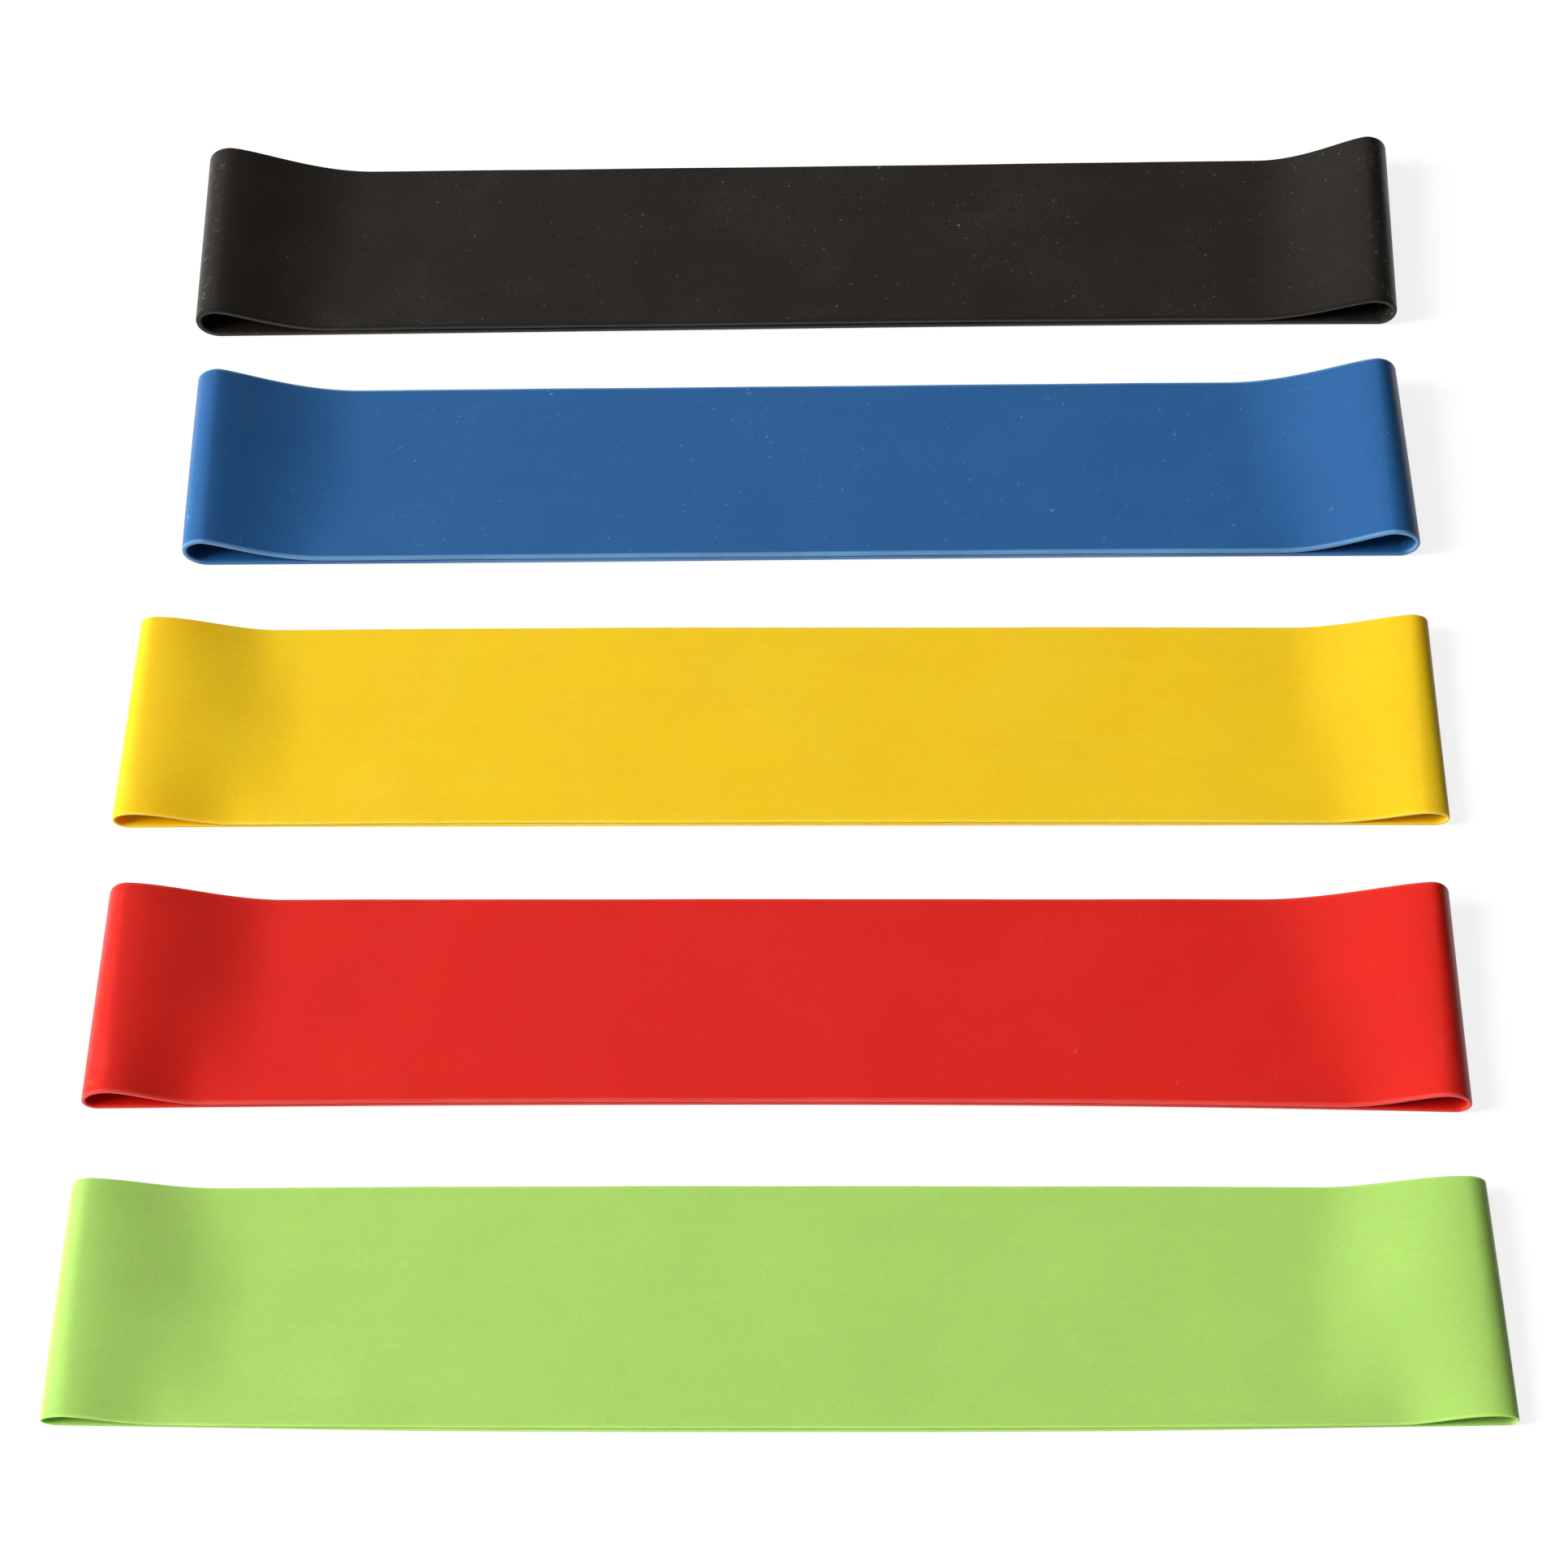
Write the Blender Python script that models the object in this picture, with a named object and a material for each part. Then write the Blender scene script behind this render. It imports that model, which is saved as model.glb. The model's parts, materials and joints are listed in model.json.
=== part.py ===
"""A set of five flat rubber loop bands, laid side by side from back to front.

Each band is one seamless loop of sheet rubber that lies pressed flat. Its top and bottom plies rest on each
other along the middle, and at both ends the rubber springs open into a teardrop fold. A band is drawn as its
two folds and its two plies, so that its right end can be pulled away from the left one. Lengths are in metres,
+X runs along the bands, +Y from front to back, +Z up, and the row stands on z = 0.
"""

import math
from collections import namedtuple

import bmesh
import bpy
from mathutils import Matrix, Vector

# The flat size that all five bands are cut to, and the space between one band and the next in the row
FLAT_LENGTH = 0.2500
FLAT_WIDTH = 0.0500
ROW_SPACE = 0.0194

# Clearances between the two plies of a band, and between a ply and the fold that it runs into
PLY_GAP = 0.0003
FOLD_GAP = 0.0003

# Fineness of a fold: steps round its nose, steps down its tail, and how early the tail falls from the crest
NOSE_STEPS = 14
TAIL_STEPS = 12
TAIL_EASE = 0.8

# A fold's clear height inside it at the band's near and far edges, its reach from the end of the band to where
# the plies meet, and its skew, which is how far its crease leans to the right from the near to the far edge
Fold = namedtuple("Fold", "near_space far_space reach skew")

# A band's rubber thickness, how much longer and wider than the cut size it lies, how much further than the
# row's space it lies from the band behind it, its step to the right from the middle of the row, its turn in
# degrees seen from above, its folds and its rubber
Band = namedtuple("Band", "name thickness longer wider further side_step turn left right rubber")

# A rubber's colour and surface roughness
Rubber = namedtuple("Rubber", "colour roughness")

BLACK = Band(
    name="black_band",
    thickness=0.0011,
    longer=0.0020,
    wider=0.0000,
    further=0.0000,
    side_step=0.0030,
    turn=1.1,
    left=Fold(near_space=0.0052, far_space=0.0070, reach=0.034, skew=0.0),
    right=Fold(near_space=0.0049, far_space=0.0063, reach=0.028, skew=0.0029),
    rubber=Rubber(colour=(0.026, 0.024, 0.021), roughness=0.55),
)

BLUE = Band(
    name="blue_band",
    thickness=0.0009,
    longer=-0.0036,
    wider=-0.0008,
    further=-0.0001,
    side_step=0.0032,
    turn=0.8,
    left=Fold(near_space=0.0050, far_space=0.0064, reach=0.030, skew=0.0),
    right=Fold(near_space=0.0051, far_space=0.0064, reach=0.032, skew=0.0),
    rubber=Rubber(colour=(0.030, 0.120, 0.330), roughness=0.50),
)

YELLOW = Band(
    name="yellow_band",
    thickness=0.0005,
    longer=0.0027,
    wider=0.0012,
    further=0.0005,
    side_step=-0.0002,
    turn=0.1,
    left=Fold(near_space=0.0031, far_space=0.0041, reach=0.027, skew=0.0010),
    right=Fold(near_space=0.0027, far_space=0.0038, reach=0.024, skew=0.0005),
    rubber=Rubber(colour=(0.880, 0.580, 0.025), roughness=0.50),
)

RED = Band(
    name="red_band",
    thickness=0.0007,
    longer=-0.0007,
    wider=-0.0019,
    further=0.0002,
    side_step=-0.0011,
    turn=0.0,
    left=Fold(near_space=0.0037, far_space=0.0050, reach=0.030, skew=0.0006),
    right=Fold(near_space=0.0037, far_space=0.0050, reach=0.030, skew=0.0004),
    rubber=Rubber(colour=(0.730, 0.032, 0.022), roughness=0.50),
)

GREEN = Band(
    name="green_band",
    thickness=0.00035,
    longer=-0.0005,
    wider=0.0013,
    further=-0.0006,
    side_step=-0.0003,
    turn=0.0,
    left=Fold(near_space=0.0021, far_space=0.0033, reach=0.026, skew=0.0),
    right=Fold(near_space=0.0023, far_space=0.0035, reach=0.027, skew=-0.0008),
    rubber=Rubber(colour=(0.400, 0.690, 0.160), roughness=0.50),
)

# The row from back to front
ROW = [BLACK, BLUE, YELLOW, RED, GREEN]

LEFT, RIGHT = -1, 1
NEAR, FAR = -1, 1


def smooth(share):
    """Eases from 0 to 1 with no slope at either end."""
    return share * share * (3 - 2 * share)


def flat_length(band):
    """Length of a band as it lies, from the crease of one fold to that of the other."""
    return FLAT_LENGTH + band.longer


def flat_width(band):
    """Width of a band as it lies, from its near edge to its far one."""
    return FLAT_WIDTH + band.wider


def top_ply_middle(thickness):
    """Height of the middle of a top ply, which lies on its bottom ply."""
    return thickness + PLY_GAP + thickness / 2


def fold_line(space, thickness, reach):
    """Middle of the rubber along one edge of a fold, as distances in from the end of the band and heights:
    along the bottom, up round the nose and down the tail to the top ply."""
    radius = space / 2 + thickness / 2
    centre = space / 2 + thickness
    line = [(reach, thickness / 2)]
    for step in range(NOSE_STEPS + 1):
        angle = math.pi * (step / NOSE_STEPS - 0.5)
        line.append((centre - radius * math.cos(angle), centre + radius * math.sin(angle)))
    for step in range(1, TAIL_STEPS + 1):
        share = step / TAIL_STEPS
        fall = (space - PLY_GAP) * (1 - smooth(share**TAIL_EASE))
        line.append((centre + share * (reach - centre), top_ply_middle(thickness) + fall))
    return line


def fold_edge(band, fold, side, edge):
    """Points along one edge of a fold, measured from the middle of its crease."""
    space = fold.near_space if edge == NEAR else fold.far_space
    points = []
    for inward, height in fold_line(space, band.thickness, fold.reach):
        lean = edge * fold.skew / 2 * (1 - inward / fold.reach)
        points.append(Vector((lean - side * inward, edge * flat_width(band) / 2, height)))
    return points


def ply_edge(band, edge):
    """The two ends of one edge of a ply, measured from the middle of the band."""
    left_end = -flat_length(band) / 2 + band.left.reach + FOLD_GAP
    right_end = flat_length(band) / 2 - band.right.reach - FOLD_GAP
    return [Vector((x, edge * flat_width(band) / 2, 0)) for x in (left_end, right_end)]


def footprint(band, middle):
    """Corners of the floor that a band covers."""
    turned = Matrix.Rotation(math.radians(band.turn), 3, "Z")
    corners = []
    for side, fold in ((LEFT, band.left), (RIGHT, band.right)):
        for edge in (NEAR, FAR):
            x = side * flat_length(band) / 2 + edge * fold.skew / 2
            corners.append(middle + turned @ Vector((x, edge * flat_width(band) / 2, 0)))
    return corners


def row_middles():
    """Middle of each band, spaced from back to front and then centred on the floor that the row covers."""
    middles = []
    front = 0.0
    for band in ROW:
        back = front - ROW_SPACE - band.further
        middles.append(Vector((band.side_step, back - flat_width(band) / 2, 0)))
        front = back - flat_width(band)
    corners = [c for band, middle in zip(ROW, middles) for c in footprint(band, middle)]
    low = Vector((min(c.x for c in corners), min(c.y for c in corners), 0))
    high = Vector((max(c.x for c in corners), max(c.y for c in corners), 0))
    return [middle - (low + high) / 2 for middle in middles]


def rubber_material(band):
    """Plain matt rubber in the band's colour."""
    material = bpy.data.materials.new(band.name + "_rubber")
    material.use_nodes = True
    shader = material.node_tree.nodes["Principled BSDF"]
    shader.inputs["Base Color"].default_value = (*band.rubber.colour, 1)
    shader.inputs["Roughness"].default_value = band.rubber.roughness
    shader.inputs["Metallic"].default_value = 0.0
    material.diffuse_color = (*band.rubber.colour, 1)
    return material


def rubber_strip(name, near, far, thickness, material):
    """A sheet between two edges, thickened by as much above its middle as below it."""
    sheet = bmesh.new()
    near_row = [sheet.verts.new(point) for point in near]
    far_row = [sheet.verts.new(point) for point in far]
    for i in range(len(near) - 1):
        sheet.faces.new((near_row[i], near_row[i + 1], far_row[i + 1], far_row[i]))
    for edge in sheet.edges:
        edge.smooth = not edge.is_boundary
    mesh = bpy.data.meshes.new(name)
    sheet.to_mesh(mesh)
    sheet.free()
    mesh.shade_smooth()
    mesh.materials.append(material)
    strip = bpy.data.objects.new(name, mesh)
    bpy.context.collection.objects.link(strip)
    thicken = strip.modifiers.new("rubber thickness", "SOLIDIFY")
    thicken.thickness = thickness
    thicken.offset = 0.0
    thicken.use_even_offset = True
    return strip


def lay_band(band, middle):
    """Builds one band about an empty at its middle, with each fold's origin on its own crease."""
    material = rubber_material(band)
    hold = bpy.data.objects.new(band.name, None)
    hold.location = middle
    hold.rotation_euler.z = math.radians(band.turn)
    bpy.context.collection.objects.link(hold)
    for side, fold, label in ((LEFT, band.left, "left"), (RIGHT, band.right, "right")):
        edges = [fold_edge(band, fold, side, edge) for edge in (NEAR, FAR)]
        piece = rubber_strip(f"{band.name}_{label}_fold", *edges, band.thickness, material)
        piece.location.x = side * flat_length(band) / 2
        piece.parent = hold
    heights = {"bottom": band.thickness / 2, "top": top_ply_middle(band.thickness)}
    for label, height in heights.items():
        edges = [ply_edge(band, edge) for edge in (NEAR, FAR)]
        piece = rubber_strip(f"{band.name}_{label}_ply", *edges, band.thickness, material)
        piece.location.z = height
        piece.parent = hold


for leftover in list(bpy.data.objects):
    bpy.data.objects.remove(leftover)

for band, middle in zip(ROW, row_middles()):
    lay_band(band, middle)
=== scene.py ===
"""Looks of a set of five flat rubber loop bands that lie side by side on a white table top.

Lengths are in metres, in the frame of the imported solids: +X along the bands, +Y from front to back, +Z up.
"""

import json
import math
from collections import namedtuple
from types import SimpleNamespace

import bpy
import numpy as np
from mathutils import Matrix, Vector


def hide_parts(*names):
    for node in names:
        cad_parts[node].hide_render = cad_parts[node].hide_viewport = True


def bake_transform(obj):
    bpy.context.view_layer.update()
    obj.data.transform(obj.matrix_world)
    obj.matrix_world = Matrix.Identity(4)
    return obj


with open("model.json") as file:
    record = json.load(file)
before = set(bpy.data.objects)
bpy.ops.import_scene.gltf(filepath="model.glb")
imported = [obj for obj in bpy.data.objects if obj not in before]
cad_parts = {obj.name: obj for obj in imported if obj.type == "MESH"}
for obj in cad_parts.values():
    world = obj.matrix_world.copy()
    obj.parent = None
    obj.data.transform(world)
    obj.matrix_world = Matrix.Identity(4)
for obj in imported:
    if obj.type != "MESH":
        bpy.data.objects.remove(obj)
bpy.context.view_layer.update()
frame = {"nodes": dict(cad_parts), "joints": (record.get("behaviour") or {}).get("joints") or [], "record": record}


# Black band
# The strongest loop of the set, of the thickest rubber. It is sliced off a moulded tube of black rubber, so
# it has no seam, its faces are satin and its knife-cut edges square. Handling has left talc and lint on it.

# The two ends of a band, and the three lines along it that its folds are measured on
LEFT, RIGHT = -1, 1
NEAR, MIDDLE, FAR = 0, 1, 2


def with_middle(pair):
    """A measure at the near edge, in the middle and at the far edge, from those at the two edges."""
    near, far = pair
    return [near, (near + far) / 2, far]


def read_fold(corners, side):
    """A fold's side, its reach to where the plies meet, and its ends and heights on the three lines."""
    near, far = corners[corners[:, 1] < 0], corners[corners[:, 1] > 0]
    ends = [side * (side * edge[:, 0]).max() for edge in (near, far)]
    heights = [edge[:, 2].max() for edge in (near, far)]
    reach = np.mean(np.abs(ends)) - (side * corners[:, 0]).min()
    return SimpleNamespace(side=side, reach=reach, ends=with_middle(ends), heights=with_middle(heights))


def read_band(colour):
    """A band's place, its flat size and its folds, read from its solids in the band's own axes."""
    rest = next(m for m in frame["record"]["mounts"] if m["name"] == f"{colour}_band_rest")
    stretch = next(j for j in frame["joints"] if j["name"] == f"{colour}_stretch")
    along = Vector(stretch["axis"])
    up = Vector((0, 0, 1))
    axes = Matrix((along, up.cross(along), up)).transposed()
    place = Matrix.Translation(rest["pos_m"]) @ axes.to_4x4()

    def corners(part):
        vertices = frame["nodes"][f"{colour}_band_{part}"].data.vertices
        return np.array([place.inverted() @ v.co for v in vertices])

    ply = corners("bottom_ply")
    return SimpleNamespace(
        colour=colour,
        place=place,
        thickness=np.ptp(ply[:, 2]),
        width=np.ptp(ply[:, 1]),
        left=read_fold(corners("left_fold"), LEFT),
        right=read_fold(corners("right_fold"), RIGHT),
    )


def spring_fold(fold, crests, swell, heel, lip, reaches, ease, stand_out=(0, 0)):
    """How a fold has sprung open, with crests and stand_out at its two edges and reaches on its three lines.

    Its crests, and the heel where its underside lifts off the table, are so far in from its end. Its swell
    is its height in the middle, as a share of the mean height of its edges. Its lip is the share of its
    height at which it stands out furthest. Its reaches are shares of the solid's, a lower ease lets its tail
    fall sooner, and stand_out is how far its ends stand out past the solid's.
    """
    fold.crests = with_middle(crests)
    fold.heights[MIDDLE] *= swell
    fold.heel = heel
    fold.lip = lip
    fold.ease = ease
    fold.ends = [end + fold.side * out for end, out in zip(fold.ends, with_middle(stand_out))]
    fold.reaches = [share * fold.reach for share in reaches]
    fold.root = fold.ends[MIDDLE] - fold.side * max(fold.reaches)


def smooth(share):
    """Eases from 0 to 1 with no slope at either end."""
    share = np.clip(share, 0, 1)
    return share * share * (3 - 2 * share)


# Steps along a ply, along a fold's underside, round each half of its nose and down its tail, where they
# crowd towards the crest, and the clearance between the two plies
PLY_STEPS = 64
RUN_STEPS = 8
NOSE_STEPS = 12
TAIL_STEPS = 26
TAIL_CROWDING = 1.2
PLY_GAP = 0.00003


def fold_midline(fold, line, thickness):
    """Middle of the rubber along one line of a fold: under it from its root, round its lip, over its crest
    and down to its root again."""
    half = thickness / 2
    end, height = fold.ends[line], fold.heights[line]
    crest, reach = fold.crests[line], fold.reaches[line]
    depth = abs(fold.root - end)
    lip = fold.lip * height
    top = height - half
    ply = thickness + PLY_GAP + half
    angle = np.linspace(0, math.pi / 2, NOSE_STEPS, endpoint=False)
    run = np.linspace(depth, fold.heel, RUN_STEPS, endpoint=False)
    under = fold.heel - (fold.heel - half) * np.sin(angle)
    over = crest - (crest - half) * np.cos(angle)
    tail = crest + (depth - crest) * np.linspace(0, 1, TAIL_STEPS) ** TAIL_CROWDING
    fallen = smooth(((tail - crest) / (reach - crest)) ** fold.ease)
    inward = np.concatenate([run, under, over, tail])
    heights = np.concatenate([
        np.full(RUN_STEPS, half),
        lip - (lip - half) * np.cos(angle),
        lip + (top - lip) * np.sin(angle),
        top + (ply - top) * fallen,
    ])
    return np.stack([end - fold.side * inward, heights], axis=1)


def loop_midline(band, line):
    """Middle of the rubber all round a loop on one line: left fold, top ply, right fold and bottom ply."""
    left = fold_midline(band.left, line, band.thickness)
    right = fold_midline(band.right, line, band.thickness)[::-1]
    steps = np.linspace(0, 1, PLY_STEPS)[1:-1, None]
    top = left[-1] + steps * (right[0] - left[-1])
    bottom = right[-1] + steps * (left[0] - right[-1])
    return np.concatenate([left, top, right, bottom])


# Steps across a face and round a corner, a corner's radius as a share of the rubber's thickness, and the
# width of the rim that keeps a face flat up to its corners
FACE_STEPS = 22
CORNER_STEPS = 4
CORNER_SHARE = 0.32
RIM = 0.0005


def cut_section(width, thickness):
    """Outline of the rubber across the band, with its corners just broken: how far each point lies across
    the band and through the rubber from their middle, and whether it lies on a cut edge."""
    corner = thickness * CORNER_SHARE
    side = width / 2 - corner
    angle = np.linspace(0, math.pi / 2, CORNER_STEPS)
    out = side + corner * np.cos(angle)
    up = thickness / 2 - corner + corner * np.sin(angle)
    face = np.concatenate([[-side + RIM], np.linspace(-side, side, FACE_STEPS)[1:-1], [side - RIM]])
    across = np.concatenate([-out, face, out[::-1]])
    through = np.concatenate([up, np.full(face.size, thickness / 2), up[::-1]])
    on_cut = np.concatenate([np.ones(angle.size), np.zeros(face.size), np.ones(angle.size)])
    return (
        np.concatenate([across, across[::-1]]),
        np.concatenate([through, -through[::-1]]),
        np.concatenate([on_cut, on_cut[::-1]]),
    )


# Spacing of a top ply's long waves and of its short, slanting ones, the long ones' share of the two, and how
# much faster than the first the other waves shift with the phase
LONG_ALONG, LONG_ACROSS = 0.0150, 0.0210
SHORT_ALONG, SHORT_ACROSS = 0.0064, 0.0170
LONG_SHARE = 0.65
ACROSS_SHIFT, SHORT_SHIFT = 1.7, 2.3


def top_waves(x, y, amount, phase):
    """Slack in the top ply, which lies on the bottom one in long, shallow waves and never below it."""
    long_wave = np.sin(x / LONG_ALONG + phase) * np.cos(y / LONG_ACROSS + ACROSS_SHIFT * phase)
    short_wave = np.sin(x / SHORT_ALONG - y / SHORT_ACROSS + SHORT_SHIFT * phase)
    return amount * (1 + LONG_SHARE * long_wave + (1 - LONG_SHARE) * short_wave) / 2


# How much an edge keeps its straying to its ends, where 1 is an even slant
STRAY_POWER = 2.2


def stray(x, half_length, left, middle, right):
    """How far an edge lies off straight along the band, from its strays at both ends and in the middle."""
    at_end = np.where(x < 0, left, right)
    return middle + (at_end - middle) * np.abs(x / half_length) ** STRAY_POWER


def ring_faces(rows, columns):
    """Faces between points in rows that close on themselves, and that close into a ring."""
    i, j = np.meshgrid(np.arange(rows), np.arange(columns), indexing="ij")
    this, following = i * columns, (i + 1) % rows * columns
    j_next = (j + 1) % columns
    return np.stack([this + j, following + j, following + j_next, this + j_next], axis=2).reshape(-1, 4)


def keep_measure(mesh, name, kind, field, values):
    """Keeps a measure at each point of a mesh, for its material to read."""
    mesh.attributes.new(name, kind, "POINT").data.foreach_set(field, values.ravel())


# Height of the rubber's middle above the table, and the rise from there, over which the rubber counts as
# raised off the bottom ply, in thicknesses
RAISED_FROM, RAISED_OVER = 0.5, 0.8

# Length over which the bottom ply comes to show in front, from so far outside the folds' roots, and the
# length from the roots over which the top ply comes to wave
SHOW_FROM, SHOW_OVER = 0.02, 0.06
WAVE_OVER = 0.02

# How much of the painted edge colour the bottom ply's cut edges take inside the folds, kept low there as
# painted shade under the fold above, and between them, and the length from the one to the other
SHADED_FOLD_EDGE_TINT, PLY_EDGE_TINT = 0.15, 0.60
EDGE_TINT_OVER = 0.03

# How far in from its ends a band's rubber is bent
BENT_DEPTH = 0.007


def mould_loop(band, near_stray, far_stray, under_out, waves, phase):
    """One seamless loop of rubber, which also gives its band the length all round it.

    Each stray is how far an edge lies to the back of straight at the left end, in the middle and at the
    right end. Under_out is how far the bottom ply shows in front of the top one, and waves and phase are the
    height and the shift of the waves in the top ply.
    """
    across, through, on_cut = cut_section(band.width, band.thickness)
    near, middle, far = [loop_midline(band, line) for line in (NEAR, MIDDLE, FAR)]
    to_far = across / band.width + 0.5
    to_near = 1 - to_far

    # The middle of the rubber, which swells or sinks between its edges as its middle line does
    belly = 4 * (middle - (near + far) / 2)[:, 1:]
    x = near[:, :1] * to_near + far[:, :1] * to_far
    z = near[:, 1:] * to_near + far[:, 1:] * to_far + belly * to_near * to_far
    raised = smooth((z / band.thickness - RAISED_FROM) / RAISED_OVER)
    inset = np.minimum(x - band.left.root, band.right.root - x)
    half_length = (band.right.ends[NEAR] - band.left.ends[NEAR]) / 2
    strays = stray(x, half_length, *near_stray) * to_near + stray(x, half_length, *far_stray) * to_far
    y = across + strays - (1 - raised) * under_out * smooth((inset + SHOW_FROM) / SHOW_OVER)
    z = z + raised * smooth(inset / WAVE_OVER) * top_waves(x, across, waves, phase)
    centre = np.stack([x, y, z], axis=2)

    # The rubber's two faces and its cut edges, square to the way along it and the way over it
    along = np.roll(centre, -1, axis=0) - np.roll(centre, 1, axis=0)
    lean = np.broadcast_to((far - near)[:, :1] / band.width, x.shape)
    climb = ((far - near)[:, 1:] + belly * (to_near - to_far)) / band.width
    over = np.stack([lean, np.ones(x.shape), climb], axis=2)
    outward = np.cross(along, over)
    outward /= np.linalg.norm(outward, axis=2, keepdims=True)
    points = (centre + outward * through[:, None]).reshape(-1, 3)
    mesh = bpy.data.meshes.new(f"{band.colour}_loop")
    mesh.from_pydata(points.tolist(), [], ring_faces(*x.shape).tolist())
    mesh.transform(band.place)
    mesh.shade_smooth()

    # Each point's place in the round tube that the loop was moulded as
    steps = np.linalg.norm(np.roll(middle, -1, axis=0) - middle, axis=1)
    around = np.concatenate([[0], np.cumsum(steps)[:-1]])
    band.loop_length = steps.sum()
    turn = around[:, None] * 2 * math.pi / band.loop_length
    radius = band.loop_length / (2 * math.pi) + through
    height = np.broadcast_to(across, x.shape)
    ring = np.stack([radius * np.cos(turn), radius * np.sin(turn), height], axis=2)
    keep_measure(mesh, "moulded_place", "FLOAT_VECTOR", "vector", ring)

    # How much of the painted edge colour each point takes, and how bent the rubber is there
    # The top ply's cut edges take all of it as painted light, the bottom ply's less, least inside the folds as
    # painted shade
    under_edge_tint = SHADED_FOLD_EDGE_TINT + (PLY_EDGE_TINT - SHADED_FOLD_EDGE_TINT) * smooth(inset / EDGE_TINT_OVER)
    painted_cut_edge = on_cut * (raised + (1 - raised) * under_edge_tint)
    keep_measure(mesh, "painted_cut_edge", "FLOAT", "value", painted_cut_edge)
    left_end = band.left.ends[NEAR] * to_near + band.left.ends[FAR] * to_far
    right_end = band.right.ends[NEAR] * to_near + band.right.ends[FAR] * to_far
    bent = 1 - smooth(np.minimum(x - left_end, right_end - x) / BENT_DEPTH)
    keep_measure(mesh, "bent", "FLOAT", "value", bent)

    loop = bpy.data.objects.new(f"{band.colour}_loop", mesh)
    bpy.context.scene.collection.objects.link(loop)
    return loop


def put(tree, kind, sockets, **settings):
    """Adds a node, with its settings and with each socket's value or the output that feeds it."""
    node = tree.nodes.new("ShaderNode" + kind)
    for name, value in settings.items():
        setattr(node, name, value)
    for name, value in sockets.items():
        if isinstance(value, bpy.types.NodeSocket):
            tree.links.new(value, node.inputs[name])
        else:
            node.inputs[name].default_value = value
    return node


def measured(tree, name, output):
    """A measure that was kept at each point of the mesh."""
    return put(tree, "Attribute", {}, attribute_name=name).outputs[output]


def marked(tree, place, marks):
    """Cloudy marks that vary about a half."""
    sockets = {
        "Vector": place,
        "Scale": marks.to_metre,
        "Detail": marks.detail,
        "Roughness": marks.roughness,
    }
    return put(tree, "TexNoise", sockets).outputs["Fac"]


def ranged(tree, value, span, result):
    """A value spread from one range to another, and held at its ends."""
    sockets = {
        "Value": value,
        "From Min": span[0],
        "From Max": span[1],
        "To Min": result[0],
        "To Max": result[1],
    }
    return put(tree, "MapRange", sockets).outputs["Result"]


def product(tree, first, second):
    """One value times another."""
    return put(tree, "Math", {0: first, 1: second}, operation="MULTIPLY").outputs[0]


def mixed(tree, share, first, second):
    """The first colour, with a share of the second mixed into it."""
    return put(tree, "Mix", {0: share, 6: first, 7: second}, data_type="RGBA").outputs[2]


# The marks in the rubber and on it: how many there are to a metre, how many layers of finer ones lie in them
# and how strong those are. Streaks are drawn out along the loop, to this share of their number that way.
Marks = namedtuple("Marks", "to_metre detail roughness")
CLOUDS = Marks(to_metre=55.0, detail=4.0, roughness=0.60)
STREAKS = Marks(to_metre=420.0, detail=3.0, roughness=0.55)
GRAIN = Marks(to_metre=1700.0, detail=3.0, roughness=0.60)
PATCHES = Marks(to_metre=38.0, detail=5.0, roughness=0.65)
FLUFF = Marks(to_metre=640.0, detail=3.0, roughness=0.70)
STREAK_DRAW = (0.06, 0.06, 1.0)

# The range that holds most of any marks, and how light each of them makes the pigment over it
MOST = (0.3, 0.7)
CLOUD_LIGHT = (0.970, 1.025)
STREAK_LIGHT = (0.990, 1.010)
GRAIN_LIGHT = (0.975, 1.020)

# Talc films over some patches, more on the crowns of the grain, and it lies in mottles where rubber is bent
FILM_PATCHES = (0.45, 0.75)
FILM_GRAIN = (0.35, 0.70)
MOTTLE_FLUFF = (0.52, 0.68)
MOTTLE_BLOOM = (0.2, 2.4)

# Lint is the peaks of the fluff, with more of them where rubber is bent, and it gathers in patches, as the
# mottles do
LINT_FLUFF = (0.67, 0.74)
LINT_BENT = 0.24
GATHER_PATCHES = (0.42, 0.58)
GATHER_SHARE = (0.3, 1.0)

# Cut edges take their painted edge colour in clouds, and faces are a little shinier in some patches
EDGE_TINT_CLOUDS = (0.30, 0.65)
EDGE_TINT_LEAST = 0.6
SATIN = (0.39, 0.51)

# How strongly grain and streaks stand out and how deep they are, and how deep light gets into the rubber
GRAIN_RELIEF, GRAIN_DEPTH = 0.35, 0.00007
STREAK_RELIEF, STREAK_DEPTH = 0.15, 0.0001
GLOW_DEPTH = 0.0009


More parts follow.
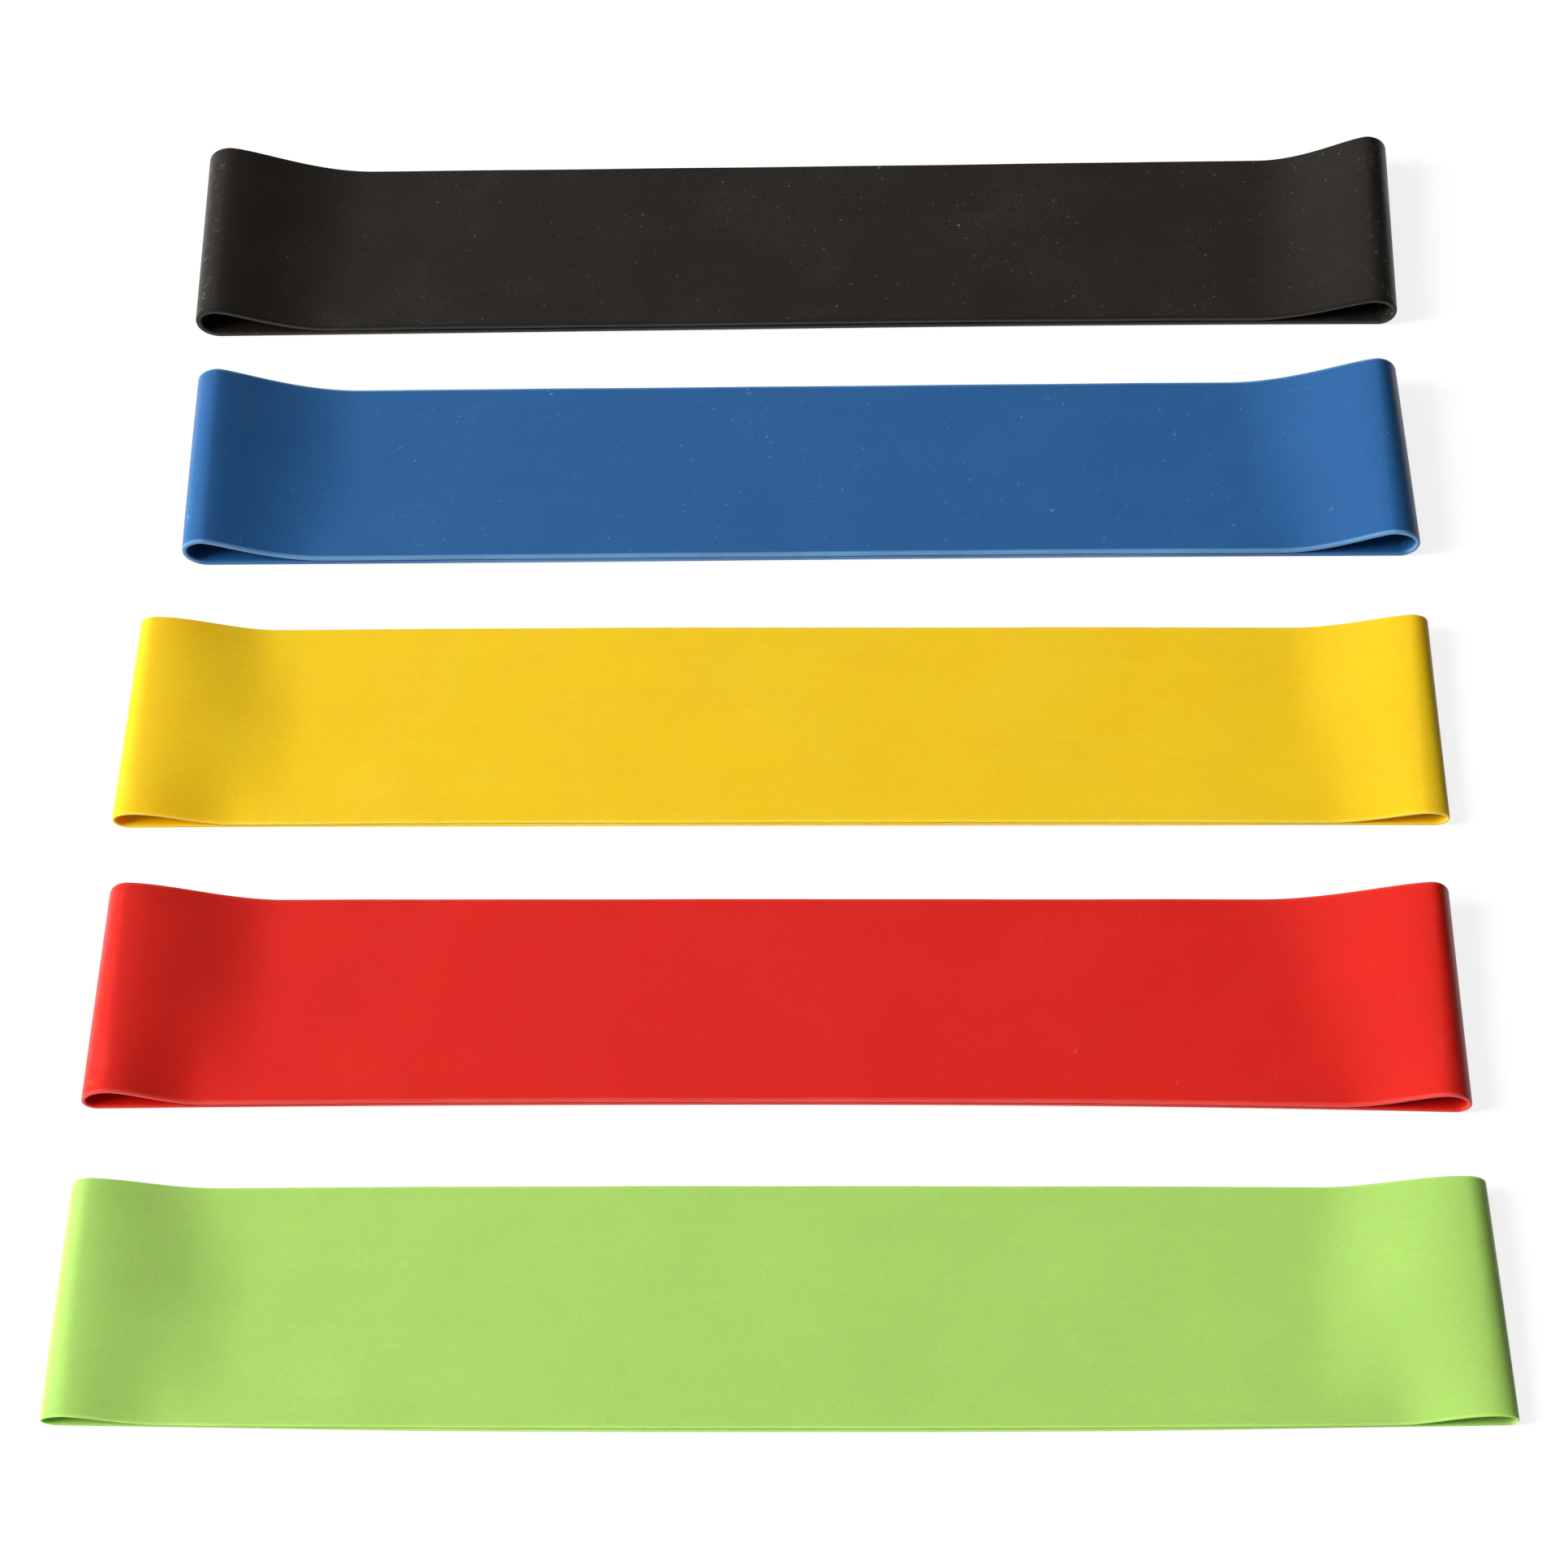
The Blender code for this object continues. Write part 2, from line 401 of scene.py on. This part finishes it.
def mix_rubber(name, colour, glow, talc, talc_share, bloom, lint, edge, edge_share, sheen):
    """Satin rubber of clouded pigment, with faint streaks along the loop, talc, lint and tinted cut edges.

    Glow is how much light gets into it, and sheen how much it reflects. Talc is the colour of talc and lint
    on it, talc_share how much a film of talc hides, bloom how much talc lies where it is bent, and lint how
    plain the lint is. Edge is the colour painted on its cut edges, and edge_share how far. Where the edge
    colour is paler than the faces, it is partly a paler cut surface and partly painted light. Where it is
    darker, as on the black band, it is painted shade.
    """
    material = bpy.data.materials.new(name)
    material.use_nodes = True
    tree = material.node_tree
    shader = tree.nodes["Principled BSDF"]
    place = measured(tree, "moulded_place", "Vector")
    on_cut = measured(tree, "painted_cut_edge", "Fac")
    bent = measured(tree, "bent", "Fac")
    drawn = put(tree, "VectorMath", {0: place, 1: STREAK_DRAW}, operation="MULTIPLY").outputs[0]
    clouds = marked(tree, place, CLOUDS)
    streaks = marked(tree, drawn, STREAKS)
    grain = marked(tree, place, GRAIN)
    patches = marked(tree, place, PATCHES)
    fluff = marked(tree, place, FLUFF)

    cloud_light = ranged(tree, clouds, MOST, CLOUD_LIGHT)
    streak_light = ranged(tree, streaks, MOST, STREAK_LIGHT)
    light = product(tree, cloud_light, streak_light)
    light = product(tree, light, ranged(tree, grain, MOST, GRAIN_LIGHT))
    pigment = put(tree, "HueSaturation", {"Value": light, "Color": (*colour, 1)}).outputs["Color"]

    filmed = ranged(tree, patches, FILM_PATCHES, (0.0, 1.0))
    film = product(tree, filmed, ranged(tree, grain, FILM_GRAIN, (0.0, talc_share)))
    gathered = ranged(tree, patches, GATHER_PATCHES, GATHER_SHARE)
    mottles = ranged(tree, fluff, MOTTLE_FLUFF, [share * bloom for share in MOTTLE_BLOOM])
    bloomed = product(tree, bent, product(tree, mottles, gathered))
    caught = {0: bent, 1: LINT_BENT * bloom, 2: fluff}
    caught = put(tree, "Math", caught, operation="MULTIPLY_ADD").outputs[0]
    specks = product(tree, ranged(tree, caught, LINT_FLUFF, (0.0, lint)), gathered)
    edge_tint_share = ranged(tree, clouds, EDGE_TINT_CLOUDS, (EDGE_TINT_LEAST * edge_share, edge_share))

    surface = mixed(tree, film, pigment, (*talc, 1))
    surface = mixed(tree, bloomed, surface, (*talc, 1))
    surface = mixed(tree, specks, surface, (*talc, 1))
    # Cut edges are painted with the edge colour: painted light on the top ply, with painted shade left on the
    # bottom ply in the folds
    surface = mixed(tree, product(tree, on_cut, edge_tint_share), surface, (*edge, 1))
    tree.links.new(surface, shader.inputs["Base Color"])
    tree.links.new(ranged(tree, patches, MOST, SATIN), shader.inputs["Roughness"])

    grained = {"Height": grain, "Strength": GRAIN_RELIEF, "Distance": GRAIN_DEPTH}
    grained = put(tree, "Bump", grained).outputs[0]
    streaked = {"Height": streaks, "Strength": STREAK_RELIEF, "Distance": STREAK_DEPTH, "Normal": grained}
    streaked = put(tree, "Bump", streaked).outputs[0]
    tree.links.new(streaked, shader.inputs["Normal"])

    shader.inputs["Specular IOR Level"].default_value = sheen
    shader.inputs["Subsurface Weight"].default_value = glow
    shader.inputs["Subsurface Radius"].default_value = colour
    shader.inputs["Subsurface Scale"].default_value = GLOW_DEPTH
    return material


def lay_loop(loop, band):
    """Keeps a loop where its solids lie, and hides the solids that it stands for."""
    name = f"{band.colour}_band"
    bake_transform(loop)
    parts = ("left_fold", "top_ply", "right_fold", "bottom_ply")
    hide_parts(*[f"{name}_{part}" for part in parts])


black = read_band("black")
spring_fold(
    black.left,
    crests=(0.0042, 0.0046),
    swell=1.0,
    heel=0.0050,
    lip=0.58,
    reaches=(0.82, 0.96, 1.04),
    ease=0.74,
)
spring_fold(
    black.right,
    crests=(0.0050, 0.0044),
    swell=1.0,
    heel=0.0038,
    lip=0.52,
    reaches=(1.09, 1.04, 0.98),
    ease=0.73,
)
black_loop = mould_loop(
    black,
    near_stray=(0.0, 0.0, -0.0010),
    far_stray=(0.0003, -0.0001, 0.0002),
    under_out=0.0,
    waves=0.00014,
    phase=0.4,
)
black_rubber = mix_rubber(
    "black_rubber",
    colour=(0.0155, 0.0120, 0.0088),
    glow=0.0,
    talc=(0.16, 0.155, 0.145),
    talc_share=0.12,
    bloom=0.25,
    lint=0.9,
    # Darker than the faces: painted shade on the cut edges
    edge=(0.010, 0.009, 0.009),
    edge_share=0.8,
    sheen=0.38,
)
black_loop.data.materials.append(black_rubber)
lay_loop(black_loop, black)


# Blue band
# The second strongest loop, a little thinner than the black one and made the same way, of blue rubber. Its
# cut edges are painted paler than its faces, partly as a paler cut surface and partly as painted light.

blue = read_band("blue")
spring_fold(
    blue.left,
    crests=(0.0042, 0.0042),
    swell=1.1,
    heel=0.0050,
    lip=0.58,
    reaches=(0.95, 1.14, 1.11),
    ease=0.68,
)
spring_fold(
    blue.right,
    crests=(0.0054, 0.0042),
    swell=1.0,
    heel=0.0040,
    lip=0.50,
    reaches=(0.86, 1.02, 1.08),
    ease=0.72,
)
blue_loop = mould_loop(
    blue,
    near_stray=(0.0003, 0.0, -0.0005),
    far_stray=(0.0001, 0.0, 0.0),
    under_out=0.0,
    waves=0.00012,
    phase=1.9,
)
blue_rubber = mix_rubber(
    "blue_rubber",
    colour=(0.015, 0.102, 0.288),
    glow=0.0,
    talc=(0.26, 0.48, 0.66),
    talc_share=0.05,
    bloom=0.05,
    lint=0.5,
    # Paler than the faces: partly a paler cut surface, partly painted light on the cut edges
    edge=(0.16, 0.36, 0.62),
    edge_share=0.8,
    sheen=0.68,
)
blue_loop.data.materials.append(blue_rubber)
lay_loop(blue_loop, blue)


# Yellow band
# A light loop of thin yellow rubber, sliced from a moulded tube like the others. Its lower ply shows as a
# thin line in front of the upper one.

yellow = read_band("yellow")
spring_fold(
    yellow.left,
    crests=(0.0040, 0.0030),
    swell=0.95,
    heel=0.0030,
    lip=0.56,
    reaches=(0.87, 1.28, 1.0),
    ease=0.95,
)
spring_fold(
    yellow.right,
    crests=(0.0045, 0.0034),
    swell=0.93,
    heel=0.0030,
    lip=0.56,
    reaches=(0.97, 1.16, 1.15),
    ease=0.75,
)
yellow_loop = mould_loop(
    yellow,
    near_stray=(-0.0004, 0.0001, -0.0002),
    far_stray=(-0.0005, 0.0003, 0.0),
    under_out=0.0002,
    waves=0.00014,
    phase=3.1,
)
yellow_rubber = mix_rubber(
    "yellow_rubber",
    colour=(0.975, 0.580, 0.006),
    glow=0.7,
    talc=(0.95, 0.80, 0.40),
    talc_share=0.06,
    bloom=0.05,
    lint=0.25,
    # Paler than the faces: partly a paler cut surface, partly painted light on the cut edges
    edge=(0.95, 0.70, 0.10),
    edge_share=0.7,
    sheen=0.60,
)
yellow_loop.data.materials.append(yellow_rubber)
lay_loop(yellow_loop, yellow)


# Red band
# The middle loop of the set in strength, of red rubber, sliced from a moulded tube like the others. Its
# near edge strays towards the front at both ends.

red = read_band("red")
spring_fold(
    red.left,
    crests=(0.0045, 0.0034),
    swell=1.04,
    heel=0.0028,
    lip=0.42,
    reaches=(0.73, 1.08, 1.08),
    ease=0.88,
)
spring_fold(
    red.right,
    crests=(0.0046, 0.0034),
    swell=0.92,
    heel=0.0030,
    lip=0.45,
    reaches=(0.79, 1.02, 1.18),
    ease=0.77,
)
red_loop = mould_loop(
    red,
    near_stray=(-0.0008, 0.0001, -0.0017),
    far_stray=(-0.0002, 0.0, 0.0),
    under_out=0.0,
    waves=0.00012,
    phase=4.6,
)
red_rubber = mix_rubber(
    "red_rubber",
    colour=(0.705, 0.012, 0.005),
    glow=0.6,
    talc=(0.90, 0.25, 0.22),
    talc_share=0.04,
    bloom=0.08,
    lint=0.25,
    # Paler than the faces: partly a paler cut surface, partly painted light on the cut edges
    edge=(0.85, 0.10, 0.08),
    edge_share=0.7,
    sheen=0.70,
)
red_loop.data.materials.append(red_rubber)
lay_loop(red_loop, red)


# Green band
# The lightest loop, of the thinnest rubber, green, and sliced from a moulded tube like the others. It is
# slack enough to spread a little in its middle, and its left nose lies out further than the solid's.

green = read_band("green")
spring_fold(
    green.left,
    crests=(0.0042, 0.0034),
    swell=1.3,
    heel=0.0030,
    lip=0.46,
    reaches=(0.80, 1.30, 1.0),
    ease=0.85,
    stand_out=(0.0013, 0.0008),
)
spring_fold(
    green.right,
    crests=(0.0044, 0.0038),
    swell=1.12,
    heel=0.0022,
    lip=0.50,
    reaches=(0.77, 1.25, 1.08),
    ease=1.0,
)
green_loop = mould_loop(
    green,
    near_stray=(0.0008, -0.0003, 0.0008),
    far_stray=(-0.0006, 0.0001, -0.0003),
    under_out=0.0003,
    waves=0.00014,
    phase=5.5,
)
green_rubber = mix_rubber(
    "green_rubber",
    colour=(0.416, 0.675, 0.144),
    glow=0.7,
    talc=(0.60, 0.85, 0.38),
    talc_share=0.06,
    bloom=0.05,
    lint=0.25,
    # Paler than the faces: partly a paler cut surface, partly painted light on the cut edges
    edge=(0.55, 0.85, 0.22),
    edge_share=0.7,
    sheen=0.70,
)
green_loop.data.materials.append(green_rubber)
lay_loop(green_loop, green)


# Table top
# A plain matt white board that the bands lie on, just under them and wider than any view. It shows as white
# to the eye and in the bands' sheen, and it keeps their faint shadows.

TABLE_SIZE = 12.0
TABLE_DROP = 0.0002
TABLE_WHITE = 0.80
SHADOW_SHARE = 0.22
TABLE_GLOW = 0.84

table_mesh = bpy.data.meshes.new("table_top")
half = TABLE_SIZE / 2
table_corners = [(-half, -half, 0), (half, -half, 0), (half, half, 0), (-half, half, 0)]
table_mesh.from_pydata(table_corners, [], [(0, 1, 2, 3)])
table_top = bpy.data.objects.new("table_top", table_mesh)
table_top.location.z = -TABLE_DROP
bpy.context.scene.collection.objects.link(table_top)

table_white = bpy.data.materials.new("table_white")
table_white.use_nodes = True
table_tree = table_white.node_tree
table_tree.nodes.clear()
lit = put(table_tree, "BsdfDiffuse", {"Color": (TABLE_WHITE, TABLE_WHITE, TABLE_WHITE, 1)}).outputs[0]
shaded = put(table_tree, "BsdfDiffuse", {"Color": (SHADOW_SHARE, SHADOW_SHARE, SHADOW_SHARE, 1)}).outputs[0]
glowing = put(table_tree, "Emission", {"Color": (1, 1, 1, 1), "Strength": TABLE_GLOW}).outputs[0]
shown = put(table_tree, "AddShader", {0: shaded, 1: glowing}).outputs[0]
ray = put(table_tree, "LightPath", {}).outputs
seen = {0: ray["Is Camera Ray"], 1: ray["Is Glossy Ray"]}
seen = put(table_tree, "Math", seen, operation="MAXIMUM").outputs[0]
seen = {0: seen, 1: ray["Is Transmission Ray"]}
seen = put(table_tree, "Math", seen, operation="MAXIMUM").outputs[0]
table_surface = put(table_tree, "MixShader", {0: seen, 1: lit, 2: shown}).outputs[0]
put(table_tree, "OutputMaterial", {"Surface": table_surface})
table_mesh.materials.append(table_white)


# Light
# A broad soft window on the left, a little to the front and low enough to model the folds, in a room that is
# brighter on that side. The window leaves no glare on the rubber.

WINDOW_TURN = math.radians(10)
WINDOW_RISE = math.radians(28)
WINDOW_DISTANCE = 3.0
WINDOW_SIZE = 1.5
WINDOW_POWER = 175.6
ROOM_LEFT = 0.42
ROOM_RIGHT = 0.0
ROOM_SPREAD = 0.4

window = bpy.data.lights.new("window", "AREA")
window.size = WINDOW_SIZE
window.energy = WINDOW_POWER
window_object = bpy.data.objects.new("window", window)
level = math.cos(WINDOW_RISE)
to_window = Vector((-level * math.cos(WINDOW_TURN), -level * math.sin(WINDOW_TURN), math.sin(WINDOW_RISE)))
window_object.location = to_window * WINDOW_DISTANCE
window_object.rotation_euler = to_window.to_track_quat("Z", "Y").to_euler()
window_object.visible_glossy = False
bpy.context.scene.collection.objects.link(window_object)

room = bpy.data.worlds.new("room")
room.use_nodes = True
room_tree = room.node_tree
room_light = room_tree.nodes["Background"]
room_light.inputs["Color"].default_value = (1, 1, 1, 1)
towards = put(room_tree, "TexCoord", {}).outputs["Generated"]
to_right = put(room_tree, "SeparateXYZ", {"Vector": towards}).outputs["X"]
brightness = ranged(room_tree, to_right, (-ROOM_SPREAD, ROOM_SPREAD), (ROOM_LEFT, ROOM_RIGHT))
room_tree.links.new(brightness, room_light.inputs["Strength"])
bpy.context.scene.world = room


# Camera
# It stands in front of the row, a little under a metre away, and looks down at it square to the bands,
# through a long lens.

CAMERA_RISE = math.radians(47.55)
CAMERA_DISTANCE = 0.9067
CAMERA_AIM = Vector((-0.00147, -0.01642, 0))
LENS_MM = 109.04
SENSOR_MM = 36.0

camera = bpy.data.cameras.new("camera")
camera.lens = LENS_MM
camera.sensor_width = SENSOR_MM
camera_object = bpy.data.objects.new("camera", camera)
to_camera = Vector((0, -math.cos(CAMERA_RISE), math.sin(CAMERA_RISE)))
camera_object.location = CAMERA_AIM + to_camera * CAMERA_DISTANCE
camera_object.rotation_euler.x = math.pi / 2 - CAMERA_RISE
bpy.context.scene.collection.objects.link(camera_object)
bpy.context.scene.camera = camera_object
bpy.context.scene.view_settings.view_transform = "Standard"
